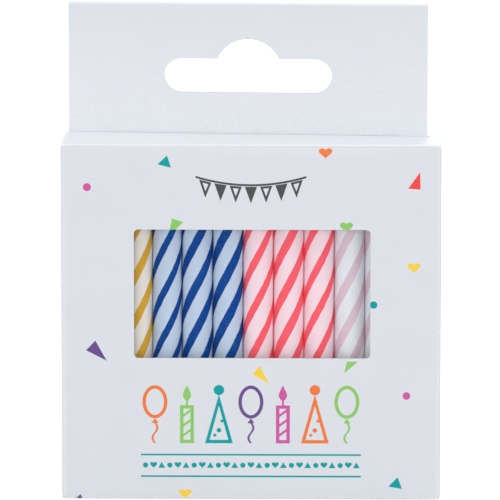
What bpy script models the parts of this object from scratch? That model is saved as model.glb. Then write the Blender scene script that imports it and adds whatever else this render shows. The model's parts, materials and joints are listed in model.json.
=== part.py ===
"""A hanging carton of twenty-four small birthday candles, in metres, +Z up.

The carton is one creased sheet of board: a sleeve with a die-cut window, a header folded over to
two plies with a euro slot, and a tuck closure at each end. Each closure is an end panel hinged at
the back, a tongue that tucks in behind the front panel, and two dust flaps. The candles stand in
two layers of twelve, each a twisted length of grooved wax on its own wick. The origin is the
middle of the carton's base, and the front faces -Y.
"""

import math

import bmesh
import bpy
from mathutils import Matrix, Vector

MM = 0.001

# Board, and the clearances between its folded panels
BOARD = 0.45 * MM
HAIRLINE = 0.05 * MM
PLY_GAP = 0.10 * MM
FOLD_RADIUS = 0.90 * MM
CREASE_RADIUS = 0.35 * MM
ARC_STEPS = 4

# Candles
CANDLE_COLUMNS = 12
COLUMNS_PER_COLOUR = 3
CANDLE_COLOURS = ("gold", "blue", "coral", "mauve")
WAX_RADIUS = 2.60 * MM
WAX_LENGTH = 57.3 * MM
CROWDED_GAP = 0.06 * MM
LOOSE_GAP = 0.255 * MM
CROWDED_COLUMNS = 4
LAYER_GAP = 0.20 * MM
GROOVE_STARTS = 3
GROOVE_LEAD = 23.8 * MM
GROOVE_DEPTH = 0.20 * MM
POINTS_PER_GROOVE = 3
SHOULDER_LENGTH = 0.9 * MM
SHOULDER_SHARE = 0.74
WICK_RADIUS = 0.48 * MM
WICK_SIDES = 6
WICK_ABOVE_WAX = 5.0 * MM
WICK_TIP_SHARE = 0.6
WICK_TIP_LENGTH = 0.6 * MM
BORE_CLEARANCE = 0.12 * MM
BORE_FLOOR = 2.5 * MM
# How far each column's candle is turned, in degrees, and the back layer's further turn
COLUMN_TURNS = (4, 69, 27, 62, 56, 36, 101, 69, 16, 38, 107, 57)
BACK_LAYER_TURN = 50

# Carton
PLAY_LEFT = 0.15 * MM
PLAY_RIGHT = 2.00 * MM
TONGUE_SLOT = 1.42 * MM
BACK_PLAY = 0.18 * MM
CANDLE_PLAY = 0.15 * MM
GLUE_FLAP_INSET = 3.0 * MM
GLUE_FLAP_WIDTH = 9.5 * MM

# Window, measured from the carton's left edge and base
WINDOW_LEFT = 13.1 * MM
WINDOW_WIDTH = 42.3 * MM
WINDOW_BASE = 25.8 * MM
WINDOW_HEIGHT = 23.5 * MM
WINDOW_RADIUS = 0.75 * MM
FILM_MARGIN = 4.0 * MM
FILM_THICKNESS = 0.12 * MM

# Hanging header
HEADER_HEIGHT = 23.8 * MM
HEADER_INSET_LEFT = 1.1 * MM
HEADER_INSET_RIGHT = 2.4 * MM
EURO_WIDTH = 30.3 * MM
EURO_HEIGHT = 6.4 * MM
EURO_RISE = 3.6 * MM
EURO_DOME_RADIUS = 6.0 * MM
EURO_ABOVE_CREASE = 7.35 * MM

# Closures
PANEL_INSET = 0.8 * MM
SLIT_HALF_LENGTH = 26.8 * MM
SLIT_WIDTH = 0.30 * MM
TONGUE_LENGTH = 6.4 * MM
TONGUE_STANDOFF = 0.30 * MM
TONGUE_INSET = 1.6 * MM
TONGUE_CORNER = 4.0 * MM
DUST_LENGTH = 10.0 * MM
DUST_SETBACK_HINGE = 1.2 * MM
DUST_SETBACK_FRONT = 1.4 * MM
DUST_TAPER_HINGE = math.radians(14)
DUST_TAPER_FRONT = math.radians(12)
DUST_CORNER = 1.2 * MM
DUST_NECK = 0.65 * MM
DUST_SHOULDER = 1.8 * MM
FRONT_EDGE_DROP = 0.35 * MM

# Derived sizes
WAX_WIDTH = 2 * WAX_RADIUS
CROWDED_GAPS = min(CROWDED_COLUMNS, CANDLE_COLUMNS) - 1
LOOSE_GAPS = CANDLE_COLUMNS - 1 - CROWDED_GAPS
ROW_WIDTH = CANDLE_COLUMNS * WAX_WIDTH + CROWDED_GAPS * CROWDED_GAP + LOOSE_GAPS * LOOSE_GAP
CARTON_WIDTH = ROW_WIDTH + 3 * BOARD + PLAY_LEFT + PLAY_RIGHT
CARTON_DEPTH = 2 * BOARD + TONGUE_SLOT + 2 * WAX_WIDTH + LAYER_GAP + BACK_PLAY
CLOSURE_STACK = 2 * (BOARD + HAIRLINE)
CANDLE_BASE = CLOSURE_STACK + CANDLE_PLAY
CARTON_HEIGHT = CANDLE_BASE + WAX_LENGTH + WICK_ABOVE_WAX + CANDLE_PLAY + CLOSURE_STACK
LEFT = -CARTON_WIDTH / 2
RIGHT = CARTON_WIDTH / 2
FRONT = -CARTON_DEPTH / 2
BACK = CARTON_DEPTH / 2
FRONT_INNER = FRONT + BOARD
BACK_INNER = BACK - BOARD
HEADER_PLY_FRONT = BACK_INNER - PLY_GAP - BOARD
FRONT_ROW = FRONT_INNER + TONGUE_SLOT + WAX_RADIUS
BACK_ROW = FRONT_ROW + WAX_WIDTH + LAYER_GAP
TONGUE_FRONT = FRONT_INNER + TONGUE_STANDOFF
OVERCUT = 2 * MM

PRINTED_BOARD = ("printed_board", (0.80, 0.82, 0.85), 0.45)
BARE_BOARD = ("bare_board", (0.78, 0.77, 0.74), 0.80)
CLEAR_FILM = ("clear_film", (0.90, 0.93, 0.95), 0.08)
WICK_COTTON = ("wick_cotton", (0.86, 0.85, 0.80), 0.95)
WAX_FINISHES = {
    "gold": ("gold_wax", (0.62, 0.40, 0.09), 0.35),
    "blue": ("blue_wax", (0.06, 0.16, 0.50), 0.35),
    "coral": ("coral_wax", (0.90, 0.22, 0.26), 0.35),
    "mauve": ("mauve_wax", (0.70, 0.56, 0.64), 0.35),
}


def clear_scene():
    for obj in list(bpy.data.objects):
        bpy.data.objects.remove(obj)


def material(finish):
    name, colour, roughness = finish
    made = bpy.data.materials.get(name)
    if made is None:
        made = bpy.data.materials.new(name)
        made.use_nodes = True
        shader = made.node_tree.nodes["Principled BSDF"]
        shader.inputs["Base Color"].default_value = (*colour, 1)
        shader.inputs["Roughness"].default_value = roughness
        shader.inputs["Metallic"].default_value = 0
    return made


def add_object(name, mesh, finish, origin=(0, 0, 0), turn=0.0):
    """Places a mesh, whose points are relative to origin, turned about +Z."""
    obj = bpy.data.objects.new(name, mesh)
    bpy.context.scene.collection.objects.link(obj)
    obj.location = origin
    obj.rotation_euler = (0, 0, turn)
    if not mesh.materials:
        mesh.materials.append(None)
    obj.material_slots[0].link = "OBJECT"
    obj.material_slots[0].material = material(finish)
    return obj


def mesh_of(name, shape, origin=(0, 0, 0)):
    """The bmesh as a mesh whose points are relative to origin, with its faces pointing out."""
    bmesh.ops.translate(shape, verts=shape.verts, vec=-Vector(origin))
    bmesh.ops.recalc_face_normals(shape, faces=shape.faces)
    if shape.calc_volume(signed=True) < 0:
        bmesh.ops.reverse_faces(shape, faces=shape.faces)
    mesh = bpy.data.meshes.new(name)
    shape.to_mesh(mesh)
    shape.free()
    return mesh


def arc(centre, radius, start, end, steps=ARC_STEPS):
    """Points on an arc from one angle to another, in degrees, both ends included."""
    points = []
    for step in range(steps + 1):
        angle = math.radians(start + (end - start) * step / steps)
        points.append((centre[0] + radius * math.cos(angle), centre[1] + radius * math.sin(angle)))
    return points


def rounded_rectangle(low, high, radius, steps=ARC_STEPS):
    corners = (
        (high[0] - radius, high[1] - radius, 0),
        (low[0] + radius, high[1] - radius, 90),
        (low[0] + radius, low[1] + radius, 180),
        (high[0] - radius, low[1] + radius, 270),
    )
    points = []
    for x, y, start in corners:
        points += arc((x, y), radius, start, start + 90, steps)
    return points


def prism(outline, low, high, axis):
    """A bmesh of an outline extruded along an axis. The outline's own plane is XY, XZ or YZ."""
    place = {
        "Z": lambda u, v: (u, v, low),
        "Y": lambda u, v: (u, low, v),
        "X": lambda u, v: (low, u, v),
    }[axis]
    along = Vector((axis == "X", axis == "Y", axis == "Z")) * (high - low)
    shape = bmesh.new()
    face = shape.faces.new([shape.verts.new(place(u, v)) for u, v in outline])
    grown = bmesh.ops.extrude_face_region(shape, geom=[face])["geom"]
    moved = [item for item in grown if isinstance(item, bmesh.types.BMVert)]
    bmesh.ops.translate(shape, verts=moved, vec=along)
    bmesh.ops.recalc_face_normals(shape, faces=shape.faces)
    return shape


def box(low, high):
    corners = ((low[0], low[1]), (high[0], low[1]), (high[0], high[1]), (low[0], high[1]))
    return prism(corners, low[2], high[2], "Z")


def folded_strip(inner_path, thickness):
    """Closed section of a folded sheet: its inner path, and the same path one thickness out."""
    outer_path = []
    for index, point in enumerate(inner_path):
        before = Vector(inner_path[max(index - 1, 0)])
        after = Vector(inner_path[min(index + 1, len(inner_path) - 1)])
        along = (after - before).normalized()
        outer_path.append((point[0] - along.y * thickness, point[1] + along.x * thickness))
    return list(inner_path) + outer_path[::-1]


def helper(name, shape):
    """A hidden cutter or a piece to be joined on."""
    obj = bpy.data.objects.new(name, mesh_of(name, shape))
    bpy.context.scene.collection.objects.link(obj)
    obj.hide_render = True
    obj.display_type = "WIRE"
    return obj


def combine(target, operation, name, shape):
    other = helper(name, shape)
    other.parent = target
    other.matrix_parent_inverse = Matrix.Translation(target.location).inverted()
    modifier = target.modifiers.new(name, "BOOLEAN")
    modifier.operation = operation
    modifier.solver = "EXACT"
    modifier.object = other


def make_sleeve():
    """Front, sides and back of the carton, with the window and the inner glue flap."""
    outer = rounded_rectangle((LEFT, FRONT), (RIGHT, BACK), FOLD_RADIUS)
    mesh = mesh_of("carton_sleeve", prism(outer, 0, CARTON_HEIGHT, "Z"))
    sleeve = add_object("carton_sleeve", mesh, PRINTED_BOARD)
    inner = rounded_rectangle(
        (LEFT + BOARD, FRONT_INNER), (RIGHT - BOARD, BACK_INNER), FOLD_RADIUS - BOARD
    )
    hollow = prism(inner, -OVERCUT, CARTON_HEIGHT + OVERCUT, "Z")
    combine(sleeve, "DIFFERENCE", "sleeve_hollow", hollow)
    opening = window_prism(0, FRONT - OVERCUT, FRONT_INNER + BOARD)
    combine(sleeve, "DIFFERENCE", "window_cutter", opening)
    side_edge = CLOSURE_STACK
    side_reach = CARTON_DEPTH / 2 - FOLD_RADIUS - HAIRLINE
    for side, wall in (("left", LEFT), ("right", RIGHT)):
        inward = BOARD * 1.5 if side == "left" else -BOARD * 1.5
        low, high = sorted((wall - (OVERCUT if inward > 0 else -OVERCUT), wall + inward))
        for end, base, top in (
            ("top", CARTON_HEIGHT - side_edge, CARTON_HEIGHT + OVERCUT),
            ("bottom", -OVERCUT, side_edge),
        ):
            combine(
                sleeve,
                "DIFFERENCE",
                f"{end}_{side}_relief",
                box((low, -side_reach, base), (high, side_reach, top)),
            )
    combine(
        sleeve,
        "DIFFERENCE",
        "front_edge_relief",
        box(
            (LEFT - OVERCUT, FRONT - OVERCUT, CARTON_HEIGHT - FRONT_EDGE_DROP),
            (RIGHT + OVERCUT, FRONT + FOLD_RADIUS, CARTON_HEIGHT + OVERCUT),
        ),
    )
    flap = [
        (BACK_INNER - FOLD_RADIUS - GLUE_FLAP_WIDTH, 2 * GLUE_FLAP_INSET),
        (BACK_INNER - FOLD_RADIUS, GLUE_FLAP_INSET),
        (BACK_INNER - FOLD_RADIUS, CARTON_HEIGHT - GLUE_FLAP_INSET),
        (BACK_INNER - FOLD_RADIUS - GLUE_FLAP_WIDTH, CARTON_HEIGHT - 2 * GLUE_FLAP_INSET),
    ]
    combine(
        sleeve, "UNION", "glue_flap", prism(flap, RIGHT - 2 * BOARD, RIGHT - BOARD / 2, "X")
    )
    return sleeve


def window_prism(margin, low, high):
    left = LEFT + WINDOW_LEFT
    outline = rounded_rectangle(
        (left - margin, WINDOW_BASE - margin),
        (left + WINDOW_WIDTH + margin, WINDOW_BASE + WINDOW_HEIGHT + margin),
        WINDOW_RADIUS,
    )
    return prism(outline, low, high, "Y")


def make_film():
    """The clear film behind the window."""
    back = FRONT_INNER + HAIRLINE
    shape = window_prism(FILM_MARGIN, back, back + FILM_THICKNESS)
    add_object("window_film", mesh_of("window_film", shape), CLEAR_FILM)


def euro_outline(centre, base):
    """A slot with full-round ends and a domed middle."""
    half = EURO_WIDTH / 2 - EURO_HEIGHT / 2
    middle = base + EURO_HEIGHT / 2
    dome_centre = base + EURO_HEIGHT + EURO_RISE - EURO_DOME_RADIUS
    dome_angle = math.degrees(math.asin((base + EURO_HEIGHT - dome_centre) / EURO_DOME_RADIUS))
    points = arc((centre + half, middle), EURO_HEIGHT / 2, -90, 90, 8)
    points += arc((centre, dome_centre), EURO_DOME_RADIUS, dome_angle, 180 - dome_angle, 10)
    points += arc((centre - half, middle), EURO_HEIGHT / 2, 90, 270, 8)
    return points


def make_header():
    """The back panel's extension, folded forward and down to two plies above the lid."""
    left = LEFT + HEADER_INSET_LEFT
    right = RIGHT - HEADER_INSET_RIGHT
    inner_front = HEADER_PLY_FRONT + BOARD
    top = CARTON_HEIGHT + HEADER_HEIGHT - BOARD - PLY_GAP / 2
    # Down the back ply's inner face is last, so that the board lies outside the path
    path = [(inner_front, CARTON_HEIGHT - BOARD)]
    path += arc((inner_front + PLY_GAP / 2, top), PLY_GAP / 2, 180, 0)
    path += [(BACK_INNER, CARTON_HEIGHT + HAIRLINE)]
    section = folded_strip(path, BOARD)
    mesh = mesh_of("hang_header", prism(section, left, right, "X"))
    header = add_object("hang_header", mesh, PRINTED_BOARD)
    outline = euro_outline((left + right) / 2, CARTON_HEIGHT + EURO_ABOVE_CREASE)
    slot = prism(outline, HEADER_PLY_FRONT - OVERCUT, BACK + OVERCUT, "Y")
    combine(header, "DIFFERENCE", "euro_slot_cutter", slot)


def height_at(end, depth):
    """The height that lies a given depth inside the carton's top or bottom."""
    return CARTON_HEIGHT - depth if end == "top" else depth


def ended(end, points):
    """Points given as (place, depth inside the carton), as (place, height)."""
    return [(place, height_at(end, depth)) for place, depth in points]


def make_end_panel(end, name, hinge_y, rear):
    """A closure's panel, with the rounded fold that starts its tongue, and a slit at a lid's crease."""
    inner_face = BOARD
    turn_y = TONGUE_FRONT + BOARD + CREASE_RADIUS
    turn_depth = inner_face + CREASE_RADIUS
    # The path runs along the inner faces, from the hinge to the end of the fold
    path = [(rear, inner_face)]
    path += arc((turn_y, turn_depth), CREASE_RADIUS, 270, 180)
    section = folded_strip([(y, -depth) for y, depth in path], -BOARD)
    section = ended(end, [(y, -depth) for y, depth in section])
    shape = prism(section, LEFT + PANEL_INSET, RIGHT - PANEL_INSET, "X")
    hinge = (0, hinge_y, height_at(end, 0))
    panel = add_object(name, mesh_of(name, shape, hinge), PRINTED_BOARD, hinge)
    if end == "top":
        slit = box(
            (-SLIT_HALF_LENGTH, rear - SLIT_WIDTH, CARTON_HEIGHT - 2 * BOARD),
            (SLIT_HALF_LENGTH, rear + OVERCUT, CARTON_HEIGHT + BOARD),
        )
        combine(panel, "DIFFERENCE", "lid_slit", slit)
    return turn_depth


def make_tongue(end, name, fold_depth):
    """The flap that tucks in behind the front panel, with its two free corners rounded."""
    start = fold_depth + HAIRLINE
    half = CARTON_WIDTH / 2 - TONGUE_INSET
    tip = start + TONGUE_LENGTH
    points = [(-half, start), (-half, tip - TONGUE_CORNER)]
    points += arc((-half + TONGUE_CORNER, tip - TONGUE_CORNER), TONGUE_CORNER, 180, 90)
    points += arc((half - TONGUE_CORNER, tip - TONGUE_CORNER), TONGUE_CORNER, 90, 0)
    points += [(half, start)]
    shape = prism(ended(end, points), TONGUE_FRONT, TONGUE_FRONT + BOARD, "Y")
    crease = (0, TONGUE_FRONT + BOARD, height_at(end, fold_depth))
    add_object(name, mesh_of(name, shape, crease), BARE_BOARD, crease)


def make_dust_flap(end, side, name, hinge_line):
    """A side panel's flap, folded in under the end panel and tapered at both of its sides."""
    outward = -1 if side == "left" else 1
    wall = CARTON_WIDTH / 2
    neck = wall - DUST_NECK
    shoulder = wall - DUST_SHOULDER
    neck_rear = hinge_line - 2 * HAIRLINE
    neck_front = TONGUE_FRONT + BOARD + HAIRLINE
    rear = hinge_line - DUST_SETBACK_HINGE
    front = TONGUE_FRONT + BOARD + DUST_SETBACK_FRONT
    tip = wall - DUST_LENGTH
    rear_tip = rear - (DUST_LENGTH - DUST_SHOULDER) * math.tan(DUST_TAPER_HINGE)
    front_tip = front + (DUST_LENGTH - DUST_SHOULDER) * math.tan(DUST_TAPER_FRONT)
    points = [(shoulder, rear), (neck, neck_rear), (wall, neck_rear)]
    points += [(wall, neck_front), (neck, neck_front), (shoulder, front)]
    points += arc((tip + DUST_CORNER, front_tip + DUST_CORNER), DUST_CORNER, 270, 180)
    points += arc((tip + DUST_CORNER, rear_tip - DUST_CORNER), DUST_CORNER, 180, 90)
    outer_face = BOARD + HAIRLINE
    faces = sorted(height_at(end, depth) for depth in (outer_face, outer_face + BOARD))
    shape = prism([(outward * x, y) for x, y in points], faces[0], faces[1], "Z")
    edge_height = height_at(end, outer_face)
    edges = [
        edge
        for edge in shape.edges
        if all(
            abs(vert.co.x - outward * wall) < HAIRLINE and abs(vert.co.z - edge_height) < HAIRLINE
            for vert in edge.verts
        )
    ]
    bmesh.ops.bevel(shape, geom=edges, offset=BOARD * 0.7, segments=3, profile=0.5, affect="EDGES")
    crease = (outward * wall, 0, height_at(end, outer_face + BOARD))
    add_object(name, mesh_of(name, shape, crease), BARE_BOARD, crease)


def make_closures():
    for end, panel, prefix in (("top", "lid_panel", "lid"), ("bottom", "bottom_panel", "bottom")):
        if end == "top":
            hinge_y, rear = HEADER_PLY_FRONT, HEADER_PLY_FRONT - HAIRLINE
        else:
            hinge_y, rear = BACK, BACK_INNER - HAIRLINE
        fold_depth = make_end_panel(end, panel, hinge_y, rear)
        make_tongue(end, f"{prefix}_tongue", fold_depth)
        for side in ("left", "right"):
            make_dust_flap(end, side, f"{end}_dust_flap_{side}", HEADER_PLY_FRONT)


def ring_edges(shape, height):
    """The edges that lie in one level ring of a candle."""
    return [
        edge for edge in shape.edges if all(abs(vert.co.z - height) < HAIRLINE for vert in edge.verts)
    ]


def fill_collar(shape, outer, inner):
    """Triangles across the level collar between two rings, walking round both by angle."""
    walk = sorted(
        [(vert, "outer") for vert in outer] + [(vert, "inner") for vert in inner],
        key=lambda step: math.atan2(step[0].co.y, step[0].co.x),
    )
    latest = {ring: vert for vert, ring in walk}
    for vert, ring in walk:
        shape.faces.new((latest["outer"], latest["inner"], vert))
        latest[ring] = vert


def wax_mesh():
    """A grooved section, twisted up the candle by a spin that climbs, then bored for the wick."""
    count = GROOVE_STARTS * POINTS_PER_GROOVE
    shape = bmesh.new()
    ring = []
    for index in range(count):
        angle = math.tau * index / count
        radius = WAX_RADIUS - (GROOVE_DEPTH if index % POINTS_PER_GROOVE == 0 else 0)
        ring.append(shape.verts.new((radius * math.cos(angle), radius * math.sin(angle), 0)))
    edges = [shape.edges.new((ring[index - 1], ring[index])) for index in range(count)]
    body = WAX_LENGTH - SHOULDER_LENGTH
    steps = round(body / (GROOVE_LEAD / count))
    bmesh.ops.spin(
        shape,
        geom=ring + edges,
        cent=(0, 0, 0),
        axis=(0, 0, 1),
        dvec=(0, 0, body / steps),
        angle=math.tau * body / GROOVE_LEAD,
        steps=steps,
    )
    shape.faces.new(ring)
    shoulder = bmesh.ops.extrude_edge_only(shape, edges=ring_edges(shape, body))["geom"]
    shoulder = [item for item in shoulder if isinstance(item, bmesh.types.BMVert)]
    bmesh.ops.translate(shape, verts=shoulder, vec=(0, 0, SHOULDER_LENGTH))
    bmesh.ops.scale(shape, verts=shoulder, vec=(SHOULDER_SHARE, SHOULDER_SHARE, 1))
    rim = bmesh.ops.create_circle(
        shape,
        segments=WICK_SIDES,
        radius=WICK_RADIUS + BORE_CLEARANCE,
        matrix=Matrix.Translation((0, 0, WAX_LENGTH)),
    )["verts"]
    rim_edges = list({edge for vert in rim for edge in vert.link_edges})
    fill_collar(shape, shoulder, rim)
    floor = bmesh.ops.extrude_edge_only(shape, edges=rim_edges)["geom"]
    floor = [item for item in floor if isinstance(item, bmesh.types.BMVert)]
    bmesh.ops.translate(shape, verts=floor, vec=(0, 0, BORE_FLOOR - WAX_LENGTH))
    bmesh.ops.contextual_create(shape, geom=ring_edges(shape, BORE_FLOOR))
    mesh = mesh_of("twisted_wax", shape)
    mesh.shade_smooth()
    mesh.set_sharp_from_angle(angle=math.radians(40))
    return mesh


def wick_mesh():
    """A cotton wick that stands on the floor of the wax's bore and shows above it."""
    shape = bmesh.new()
    foot = BORE_FLOOR + BORE_CLEARANCE
    top = WAX_LENGTH + WICK_ABOVE_WAX
    shank = top - WICK_TIP_LENGTH - foot
    bmesh.ops.create_cone(
        shape,
        cap_ends=True,
        segments=WICK_SIDES,
        radius1=WICK_RADIUS,
        radius2=WICK_RADIUS,
        depth=shank,
        matrix=Matrix.Translation((0, 0, foot + shank / 2)),
    )
    upper = [vert for vert in shape.verts if vert.co.z > foot + shank / 2]
    cap = next(face for face in shape.faces if set(face.verts) == set(upper))
    grown = bmesh.ops.extrude_face_region(shape, geom=[cap])["geom"]
    tip = [item for item in grown if isinstance(item, bmesh.types.BMVert)]
    if cap.is_valid:
        shape.faces.remove(cap)
    bmesh.ops.translate(shape, verts=tip, vec=(0, 0, WICK_TIP_LENGTH))
    bmesh.ops.scale(shape, verts=tip, vec=(WICK_TIP_SHARE, WICK_TIP_SHARE, 1))
    mesh = mesh_of("wick", shape)
    mesh.shade_smooth()
    mesh.set_sharp_from_angle(angle=math.radians(50))
    return mesh


def column_place(column):
    """A candle's place across the carton: the row leans left, with its first columns crowded."""
    crowded = min(column, CROWDED_COLUMNS - 1)
    gaps = crowded * CROWDED_GAP + (column - crowded) * LOOSE_GAP
    return LEFT + BOARD + PLAY_LEFT + WAX_RADIUS + column * WAX_WIDTH + gaps


def make_candles():
    wax = wax_mesh()
    wick = wick_mesh()
    for row, y in enumerate((FRONT_ROW, BACK_ROW)):
        for column in range(CANDLE_COLUMNS):
            colour = CANDLE_COLOURS[column // COLUMNS_PER_COLOUR]
            number = row * COLUMNS_PER_COLOUR + column % COLUMNS_PER_COLOUR + 1
            place = (column_place(column), y, CANDLE_BASE)
            turn = math.radians(COLUMN_TURNS[column] + row * BACK_LAYER_TURN)
            name = f"{colour}_candle_{number}"
            add_object(f"{name}_wax", wax, WAX_FINISHES[colour], place, turn)
            add_object(f"{name}_wick", wick, WICK_COTTON, place, turn)


clear_scene()
make_sleeve()
make_film()
make_header()
make_closures()
make_candles()
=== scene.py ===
# %% [markdown]
# # A hanging carton of small birthday candles
# A white paperboard carton stands on its base. A header folds over above it and carries a slot for
# a display hook, and a window in the front shows two layers of twelve twisted candles. The packed
# CAD model is loaded first and never moves: it gives the main sizes and every moving body. Each
# piece built here stands for one CAD node and moves with that node's body, so the closures open.
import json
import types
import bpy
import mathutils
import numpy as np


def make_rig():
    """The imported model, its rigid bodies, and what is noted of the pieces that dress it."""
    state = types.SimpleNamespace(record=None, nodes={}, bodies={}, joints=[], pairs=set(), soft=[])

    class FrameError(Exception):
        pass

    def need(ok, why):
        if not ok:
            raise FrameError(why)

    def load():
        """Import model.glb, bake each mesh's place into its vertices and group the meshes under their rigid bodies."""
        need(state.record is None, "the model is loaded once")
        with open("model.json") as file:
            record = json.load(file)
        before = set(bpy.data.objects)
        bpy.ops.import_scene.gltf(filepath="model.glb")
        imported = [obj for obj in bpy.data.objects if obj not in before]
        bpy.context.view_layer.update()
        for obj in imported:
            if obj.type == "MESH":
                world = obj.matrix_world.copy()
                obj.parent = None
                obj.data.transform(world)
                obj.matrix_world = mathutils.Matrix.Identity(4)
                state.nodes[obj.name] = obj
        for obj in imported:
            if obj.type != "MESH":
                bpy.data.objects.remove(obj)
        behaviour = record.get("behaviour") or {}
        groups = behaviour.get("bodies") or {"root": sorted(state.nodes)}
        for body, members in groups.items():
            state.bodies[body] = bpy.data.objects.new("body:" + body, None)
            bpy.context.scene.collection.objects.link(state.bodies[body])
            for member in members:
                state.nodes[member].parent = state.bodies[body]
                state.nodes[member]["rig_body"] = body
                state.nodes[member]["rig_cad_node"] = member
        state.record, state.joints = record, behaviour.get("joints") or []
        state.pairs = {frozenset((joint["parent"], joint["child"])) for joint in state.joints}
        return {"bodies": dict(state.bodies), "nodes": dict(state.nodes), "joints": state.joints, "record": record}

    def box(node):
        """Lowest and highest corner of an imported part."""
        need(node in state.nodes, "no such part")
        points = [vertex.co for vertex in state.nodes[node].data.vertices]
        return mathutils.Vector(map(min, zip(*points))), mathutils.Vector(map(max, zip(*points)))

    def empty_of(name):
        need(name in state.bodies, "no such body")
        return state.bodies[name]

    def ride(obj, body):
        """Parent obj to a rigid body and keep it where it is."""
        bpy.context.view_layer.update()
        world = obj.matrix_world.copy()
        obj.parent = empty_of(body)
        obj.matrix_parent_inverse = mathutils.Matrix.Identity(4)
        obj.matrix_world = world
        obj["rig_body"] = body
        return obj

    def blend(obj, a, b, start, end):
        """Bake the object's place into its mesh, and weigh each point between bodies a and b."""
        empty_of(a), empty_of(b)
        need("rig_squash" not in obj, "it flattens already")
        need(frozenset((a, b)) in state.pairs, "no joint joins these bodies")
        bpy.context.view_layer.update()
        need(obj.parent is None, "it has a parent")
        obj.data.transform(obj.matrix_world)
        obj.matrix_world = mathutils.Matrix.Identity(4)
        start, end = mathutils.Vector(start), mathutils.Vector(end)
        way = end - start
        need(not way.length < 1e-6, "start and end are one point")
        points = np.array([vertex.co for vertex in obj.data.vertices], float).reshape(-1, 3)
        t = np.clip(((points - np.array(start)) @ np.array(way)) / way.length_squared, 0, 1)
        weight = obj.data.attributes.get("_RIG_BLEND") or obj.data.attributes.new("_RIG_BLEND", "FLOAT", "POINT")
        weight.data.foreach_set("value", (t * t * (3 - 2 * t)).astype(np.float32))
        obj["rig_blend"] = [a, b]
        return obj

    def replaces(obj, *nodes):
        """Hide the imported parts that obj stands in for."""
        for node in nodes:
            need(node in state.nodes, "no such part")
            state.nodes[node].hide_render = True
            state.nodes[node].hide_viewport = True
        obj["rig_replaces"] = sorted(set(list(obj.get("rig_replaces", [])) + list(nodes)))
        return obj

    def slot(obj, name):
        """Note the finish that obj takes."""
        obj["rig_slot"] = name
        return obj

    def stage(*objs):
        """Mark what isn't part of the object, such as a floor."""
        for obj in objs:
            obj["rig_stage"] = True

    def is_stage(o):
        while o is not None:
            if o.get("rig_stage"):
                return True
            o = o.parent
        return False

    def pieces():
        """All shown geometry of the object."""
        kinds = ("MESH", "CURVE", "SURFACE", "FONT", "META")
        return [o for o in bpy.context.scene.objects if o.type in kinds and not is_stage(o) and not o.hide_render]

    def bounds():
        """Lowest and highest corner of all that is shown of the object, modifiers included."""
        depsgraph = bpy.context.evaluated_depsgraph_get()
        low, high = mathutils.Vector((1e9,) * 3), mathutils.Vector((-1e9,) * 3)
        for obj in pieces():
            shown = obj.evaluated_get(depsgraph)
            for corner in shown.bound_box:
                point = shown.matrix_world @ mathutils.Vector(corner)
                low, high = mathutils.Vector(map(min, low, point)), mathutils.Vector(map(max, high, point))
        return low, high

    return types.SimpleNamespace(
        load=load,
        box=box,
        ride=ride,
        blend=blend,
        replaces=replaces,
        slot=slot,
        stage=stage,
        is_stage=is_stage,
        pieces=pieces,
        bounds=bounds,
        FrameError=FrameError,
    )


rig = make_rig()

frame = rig.load()

import json
import math

import bmesh
import bpy
import numpy as np
from mathutils import Matrix, Vector
from mathutils.geometry import delaunay_2d_cdt

MM = 0.001
cad_box = [list(corner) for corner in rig.bounds()]
print("CAD box in mm:", [[round(value / MM, 2) for value in corner] for corner in cad_box])


# %% [markdown]
# ## Sizes
# The sleeve's own box says how wide, deep and tall the carton is, so those are read from it. The
# board's thickness and the fold radii are the maker's choices, and are named once here.

# %% Carton sizes, in millimetres
sleeve_low, sleeve_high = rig.box("carton_sleeve")
header_low, header_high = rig.box("hang_header")
LEFT, RIGHT = sleeve_low.x / MM, sleeve_high.x / MM
FRONT, BACK = sleeve_low.y / MM, sleeve_high.y / MM
HEIGHT = sleeve_high.z / MM
HEADER_TOP = header_high.z / MM
HEADER_LEFT, HEADER_RIGHT = header_low.x / MM, header_high.x / MM
BOARD = 0.45
HAIRLINE = 0.05
PLY_GAP = 0.10
FOLD_RADIUS = 0.90
CLOSURE_STACK = 2 * (BOARD + HAIRLINE)
FRONT_EDGE_DROP = 0.15
TONGUE_ROOM = 0.30
TONGUE_FRONT = FRONT + BOARD + TONGUE_ROOM
HEADER_PLY_FRONT = BACK - 2 * BOARD - PLY_GAP
print("carton in mm:", round(RIGHT - LEFT, 2), round(BACK - FRONT, 2), round(HEIGHT, 2))


# %% [markdown]
# ## Surface effects shared by several materials
# Board, print and bare board are all paper, so one node group gives them their fibres, their faint
# mottling and a paler colour along each fold; on the header's foot the same paler colour is painted
# bounce light from the lid. The four colours of wax share another group, which paints the stripe,
# and painted coloured shade on the sides where two candles press together. A group puts out only
# colours, values and heights, and each material keeps its own shader.

# %% A helper for node groups
def new_group(name, inputs, outputs):
    """A shader node group with named float or colour sockets."""
    group = bpy.data.node_groups.new(name, "ShaderNodeTree")
    kinds = {"float": "NodeSocketFloat", "colour": "NodeSocketColor"}
    for direction, sockets in (("INPUT", inputs), ("OUTPUT", outputs)):
        for socket, kind in sockets.items():
            group.interface.new_socket(name=socket, in_out=direction, socket_type=kinds[kind])
    group.nodes.new("NodeGroupInput").name = "in"
    group.nodes.new("NodeGroupOutput").name = "out"
    return group


def add_node(tree, kind, links=None, values=None, **settings):
    """A node with its settings, its values and what feeds it, keyed by socket name or number."""
    node = tree.nodes.new(kind)
    for setting, value in settings.items():
        setattr(node, setting, value)
    for socket, value in (values or {}).items():
        node.inputs[socket].default_value = value
    for socket, source in (links or {}).items():
        tree.links.new(source, node.inputs[socket])
    return node


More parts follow.
